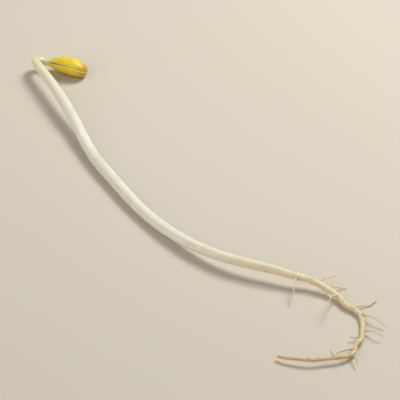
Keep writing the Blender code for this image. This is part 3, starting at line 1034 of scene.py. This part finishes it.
def stem_material(groups):
    """White, wet stem flesh with fine lengthwise fibres, which turns cream and tan along the root."""
    material, tree, shader = new_material("white_stem_flesh", roughness=0.35)
    set_flesh(shader, STEM_LIGHT_SHARE, STEM_SCATTER, depth=1.1, wet=0.45, wet_roughness=0.08)
    straight, distance, y, z = read_attribute(tree, "straight")
    past_neck = ranged(tree, distance, *NECK_LETS_LIGHT_IN, 0.0, STEM_LIGHT_SHARE)
    square = calculated(tree, "MULTIPLY", y, y)
    square = calculated(tree, "MULTIPLY_ADD", z, z, square)
    thick = ranged(tree, calculated(tree, "SQRT", square), *THICK_LETS_LIGHT_IN, FINE_LIGHT_SHARE)
    light_in = calculated(tree, "MULTIPLY", past_neck, thick)
    tree.links.new(light_in, shader.inputs["Subsurface Weight"])
    last = STEM_COLOURS[-1][0]
    along = calculated(tree, "DIVIDE", distance, last, clamp=True)
    colour = colour_ramp(tree, [(place / last, stop) for place, stop in STEM_COLOURS], along)
    rooty = ranged(tree, distance, *ROOTY_SPAN)
    fibres = place_group(tree, groups["streaks"], straight, along=0.09, across=3.2)["Streak"]
    fine = place_group(tree, groups["streaks"], straight, along=0.35, across=9.0)["Streak"]
    strands = place_group(tree, groups["streaks"], straight, along=0.055, across=1.25)["Streak"]
    here = add_node(tree, "ShaderNodeTexCoord").outputs["Object"]
    clear = place_group(tree, groups["patches"], here, scale=260.0, cover=0.42)["Patch"]
    stain = place_group(tree, groups["patches"], here, scale=900.0, cover=0.4)["Patch"]
    speck = place_group(tree, groups["specks"], here, scale=1300.0, size=0.3, share=0.10)["Speck"]
    for mask, share in ((strands, STRAND_SHARE), (fibres, FIBRE_SHARE), (clear, CLEAR_SHARE)):
        colour = tinted(tree, colour, WATERY_GREEN, mask, share)
    colour = tinted(tree, colour, ROOT_TIP, stain, calculated(tree, "MULTIPLY", rooty, STAIN_SHARE))
    colour = tinted(tree, colour, SPECK_BROWN, speck, calculated(tree, "MULTIPLY", rooty, DOT_SHARE))
    tree.links.new(colour, shader.inputs["Base Color"])
    rough = calculated(tree, "MULTIPLY_ADD", clear, CLEAR_ROUGHENS, STEM_ROUGHNESS)
    rough = calculated(tree, "ADD", rough, calculated(tree, "MULTIPLY", rooty, ROOTY_ROUGHENS))
    tree.links.new(rough, shader.inputs["Roughness"])
    film = calculated(tree, "MULTIPLY_ADD", clear, CLEAR_WETS, STEM_FILM)
    dried = calculated(tree, "MULTIPLY_ADD", rooty, ROOTY_WETS, 1.0)
    tree.links.new(calculated(tree, "MULTIPLY", film, dried), shader.inputs["Coat Weight"])
    height = calculated(tree, "MULTIPLY_ADD", fine, FINE_FIBRE_RISE, fibres)
    stain_rise = calculated(tree, "MULTIPLY", rooty, STAIN_RISE)
    height = calculated(tree, "MULTIPLY_ADD", stain, stain_rise, height)
    relief(tree, shader, height, STEM_RELIEF)
    return material


def seed_leaf_material(groups):
    """Golden seed leaf flesh with lemon veins: pale at the stalk and rims, ochre at the far end."""
    material, tree, shader = new_material("golden_seed_leaf", roughness=0.4)
    set_flesh(shader, LEAF_LIGHT_SHARE, LEAF_SCATTER, depth=0.9, wet=0.3, wet_roughness=0.12)
    leaf_place, along, _, up = read_attribute(tree, "leaf_place")
    light_in = ranged(tree, along, *LEAF_LETS_LIGHT_IN, 0.0, LEAF_LIGHT_SHARE)
    tree.links.new(light_in, shader.inputs["Subsurface Weight"])
    here = add_node(tree, "ShaderNodeTexCoord").outputs["Object"]
    veins = place_group(tree, groups["streaks"], leaf_place, along=2.2, across=9.0)["Streak"]
    mottle = place_group(tree, groups["patches"], here, scale=480.0, cover=0.5)["Patch"]
    pores = place_group(tree, groups["patches"], here, scale=3600.0, cover=0.5)["Patch"]
    speck = place_group(tree, groups["specks"], here, scale=800.0, size=0.15, share=0.22)["Speck"]
    colour = tinted(tree, LEAF_GOLD, LEAF_LEMON, mottle, LEAF_MOTTLE_SHARE)
    colour = tinted(tree, colour, LEAF_LEMON, veins, LEAF_VEIN_SHARE)
    end = ranged(tree, along, *LEAF_END_SPAN, 0.0, LEAF_END_SHARE)
    colour = mixed(tree, end, colour, LEAF_OCHRE)
    rim = ranged(tree, calculated(tree, "ABSOLUTE", up), *LEAF_RIM_SPAN, 0.0, LEAF_RIM_SHARE)
    colour = mixed(tree, rim, colour, LEAF_PALE)
    colour = mixed(tree, ranged(tree, up, *LEAF_INNER_SPAN), colour, LEAF_PALE)
    colour = mixed(tree, ranged(tree, along, *LEAF_STALK_SPAN), colour, LEAF_BASE)
    colour = tinted(tree, colour, SPECK_BROWN, speck, LEAF_SPECK_SHARE)
    tree.links.new(colour, shader.inputs["Base Color"])
    rough = calculated(tree, "MULTIPLY_ADD", mottle, LEAF_MOTTLE_ROUGHENS, LEAF_ROUGHNESS)
    tree.links.new(rough, shader.inputs["Roughness"])
    film = calculated(tree, "MULTIPLY_ADD", mottle, LEAF_MOTTLE_WETS, LEAF_FILM)
    tree.links.new(film, shader.inputs["Coat Weight"])
    height = calculated(tree, "MULTIPLY_ADD", pores, PORE_RISE, veins)
    relief(tree, shader, height, LEAF_RELIEF)
    return material


def bud_material(groups):
    """Pale yellow-green first leaves with lighter veins."""
    material, tree, shader = new_material("pale_first_leaves", roughness=0.45)
    set_flesh(shader, BUD_LIGHT_SHARE, LEAF_SCATTER, depth=0.5, wet=0.2, wet_roughness=0.2)
    *_, slant = read_attribute(tree, "leaf_place")
    here = add_node(tree, "ShaderNodeTexCoord").outputs["Object"]
    waves = calculated(tree, "MULTIPLY", slant, 2 * math.pi)
    veins = ranged(tree, calculated(tree, "COSINE", waves), *BUD_VEIN_EDGE)
    mottle = place_group(tree, groups["patches"], here, scale=1600.0, cover=0.5)["Patch"]
    colour = tinted(tree, BUD_GREEN, BUD_CREAM, veins, BUD_VEIN_SHARE)
    colour = tinted(tree, colour, LEAF_LEMON, mottle, BUD_MOTTLE_SHARE)
    tree.links.new(colour, shader.inputs["Base Color"])
    rough = calculated(tree, "MULTIPLY_ADD", mottle, BUD_MOTTLE_ROUGHENS, BUD_ROUGHNESS)
    tree.links.new(rough, shader.inputs["Roughness"])
    relief(tree, shader, mottle, BUD_RELIEF)
    return material


def floor_material(groups):
    """A pale, dull surface with faint clouds in its colour."""
    material, tree, shader = new_material("pale_floor", roughness=0.75)
    here = add_node(tree, "ShaderNodeTexCoord").outputs["Object"]
    cloud = place_group(tree, groups["patches"], here, scale=6.0, cover=0.5)["Patch"]
    colour = tinted(tree, FLOOR_CREAM, FLOOR_SHADE, cloud, FLOOR_CLOUD_SHARE)
    tree.links.new(colour, shader.inputs["Base Color"])
    shader.inputs["Specular IOR Level"].default_value = FLOOR_GLOSS
    return material


# The floor, the lights and the camera, in metres, degrees and watts.
FLOOR_SIZE = 4.0
FLOOR_DROP = 0.00003
CAMERA_ELEVATION = 36.0
CAMERA_DISTANCE = 0.65
CAMERA_CLIP_START = 0.01
VIEW_WIDTH = 0.080
VIEW_CENTRE = (0.0, 0.0, 0.002)
SENSOR_WIDTH = 36.0
KEY_PLACE = (0.21, 0.20, 0.36)
KEY_SIZE = 0.28
KEY_POWER = 1.42
KEY_COLOUR = (1.0, 0.98, 0.94)
GLINT_PLACE = (0.19, 0.24, 0.34)
GLINT_SIZE = 0.07
GLINT_POWER = 0.36
FILL_PLACE = (-0.5, -0.45, 0.45)
FILL_SIZE = 0.8
FILL_POWER = 2.2
FILL_COLOUR = (1.0, 0.93, 0.82)
SKY_COLOUR = (0.95, 0.91, 0.84)
SKY_STRENGTH = 0.3


def make_floor(material):
    """A wide plane just under the sprout."""
    bm = bmesh.new()
    bmesh.ops.create_grid(bm, x_segments=1, y_segments=1, size=FLOOR_SIZE / 2)
    bmesh.ops.translate(bm, verts=bm.verts, vec=(0, 0, -FLOOR_DROP))
    mesh = bpy.data.meshes.new("floor")
    bm.to_mesh(mesh)
    bm.free()
    mesh.materials.append(material)
    floor = bpy.data.objects.new("floor", mesh)
    bpy.context.scene.collection.objects.link(floor)


def soft_light(name, place, size, power, colour):
    """A round area light that shines at the sprout."""
    light = bpy.data.lights.new(name, "AREA")
    light.shape = "DISK"
    light.size = size
    light.energy = power
    light.color = colour
    lamp = bpy.data.objects.new(name, light)
    lamp.location = place
    lamp.rotation_euler = (-Vector(place)).to_track_quat("-Z", "Y").to_euler()
    bpy.context.scene.collection.objects.link(lamp)


def make_sky():
    """A pale, even light from all round."""
    world = bpy.data.worlds.new("pale_studio")
    world.use_nodes = True
    sky = world.node_tree.nodes["Background"]
    sky.inputs["Color"].default_value = (*SKY_COLOUR, 1.0)
    sky.inputs["Strength"].default_value = SKY_STRENGTH
    bpy.context.scene.world = world


def make_camera():
    """A long lens that looks down on the sprout, as in the photograph."""
    rise = math.radians(CAMERA_ELEVATION)
    back = Vector((0, -math.cos(rise), math.sin(rise)))
    data = bpy.data.cameras.new("camera")
    data.sensor_width = SENSOR_WIDTH
    data.lens = SENSOR_WIDTH * CAMERA_DISTANCE / VIEW_WIDTH
    data.clip_start = CAMERA_CLIP_START
    camera = bpy.data.objects.new("camera", data)
    camera.location = Vector(VIEW_CENTRE) + back * CAMERA_DISTANCE
    camera.rotation_euler = (-back).to_track_quat("-Z", "Y").to_euler()
    bpy.context.scene.collection.objects.link(camera)
    bpy.context.scene.camera = camera


def main():
    """Makes the sprout, and then its floor, lights and camera."""
    groups = {"streaks": streaks_group(), "patches": patches_group(), "specks": specks_group()}
    flesh = stem_material(groups)
    gold = seed_leaf_material(groups)
    make_stem(flesh)
    make_side_roots(flesh)
    make_seed_leaf("upper_seed_leaf", 1, gold, "seed_leaf_upper")
    make_seed_leaf("lower_seed_leaf", -1, gold, "seed_leaf_lower")
    make_bud(bud_material(groups))
    make_floor(floor_material(groups))
    soft_light("key_light", KEY_PLACE, KEY_SIZE, KEY_POWER, KEY_COLOUR)
    soft_light("glint_light", GLINT_PLACE, GLINT_SIZE, GLINT_POWER, KEY_COLOUR)
    soft_light("fill_light", FILL_PLACE, FILL_SIZE, FILL_POWER, FILL_COLOUR)
    make_sky()
    make_camera()
    bpy.context.scene.view_settings.view_transform = "Standard"


main()
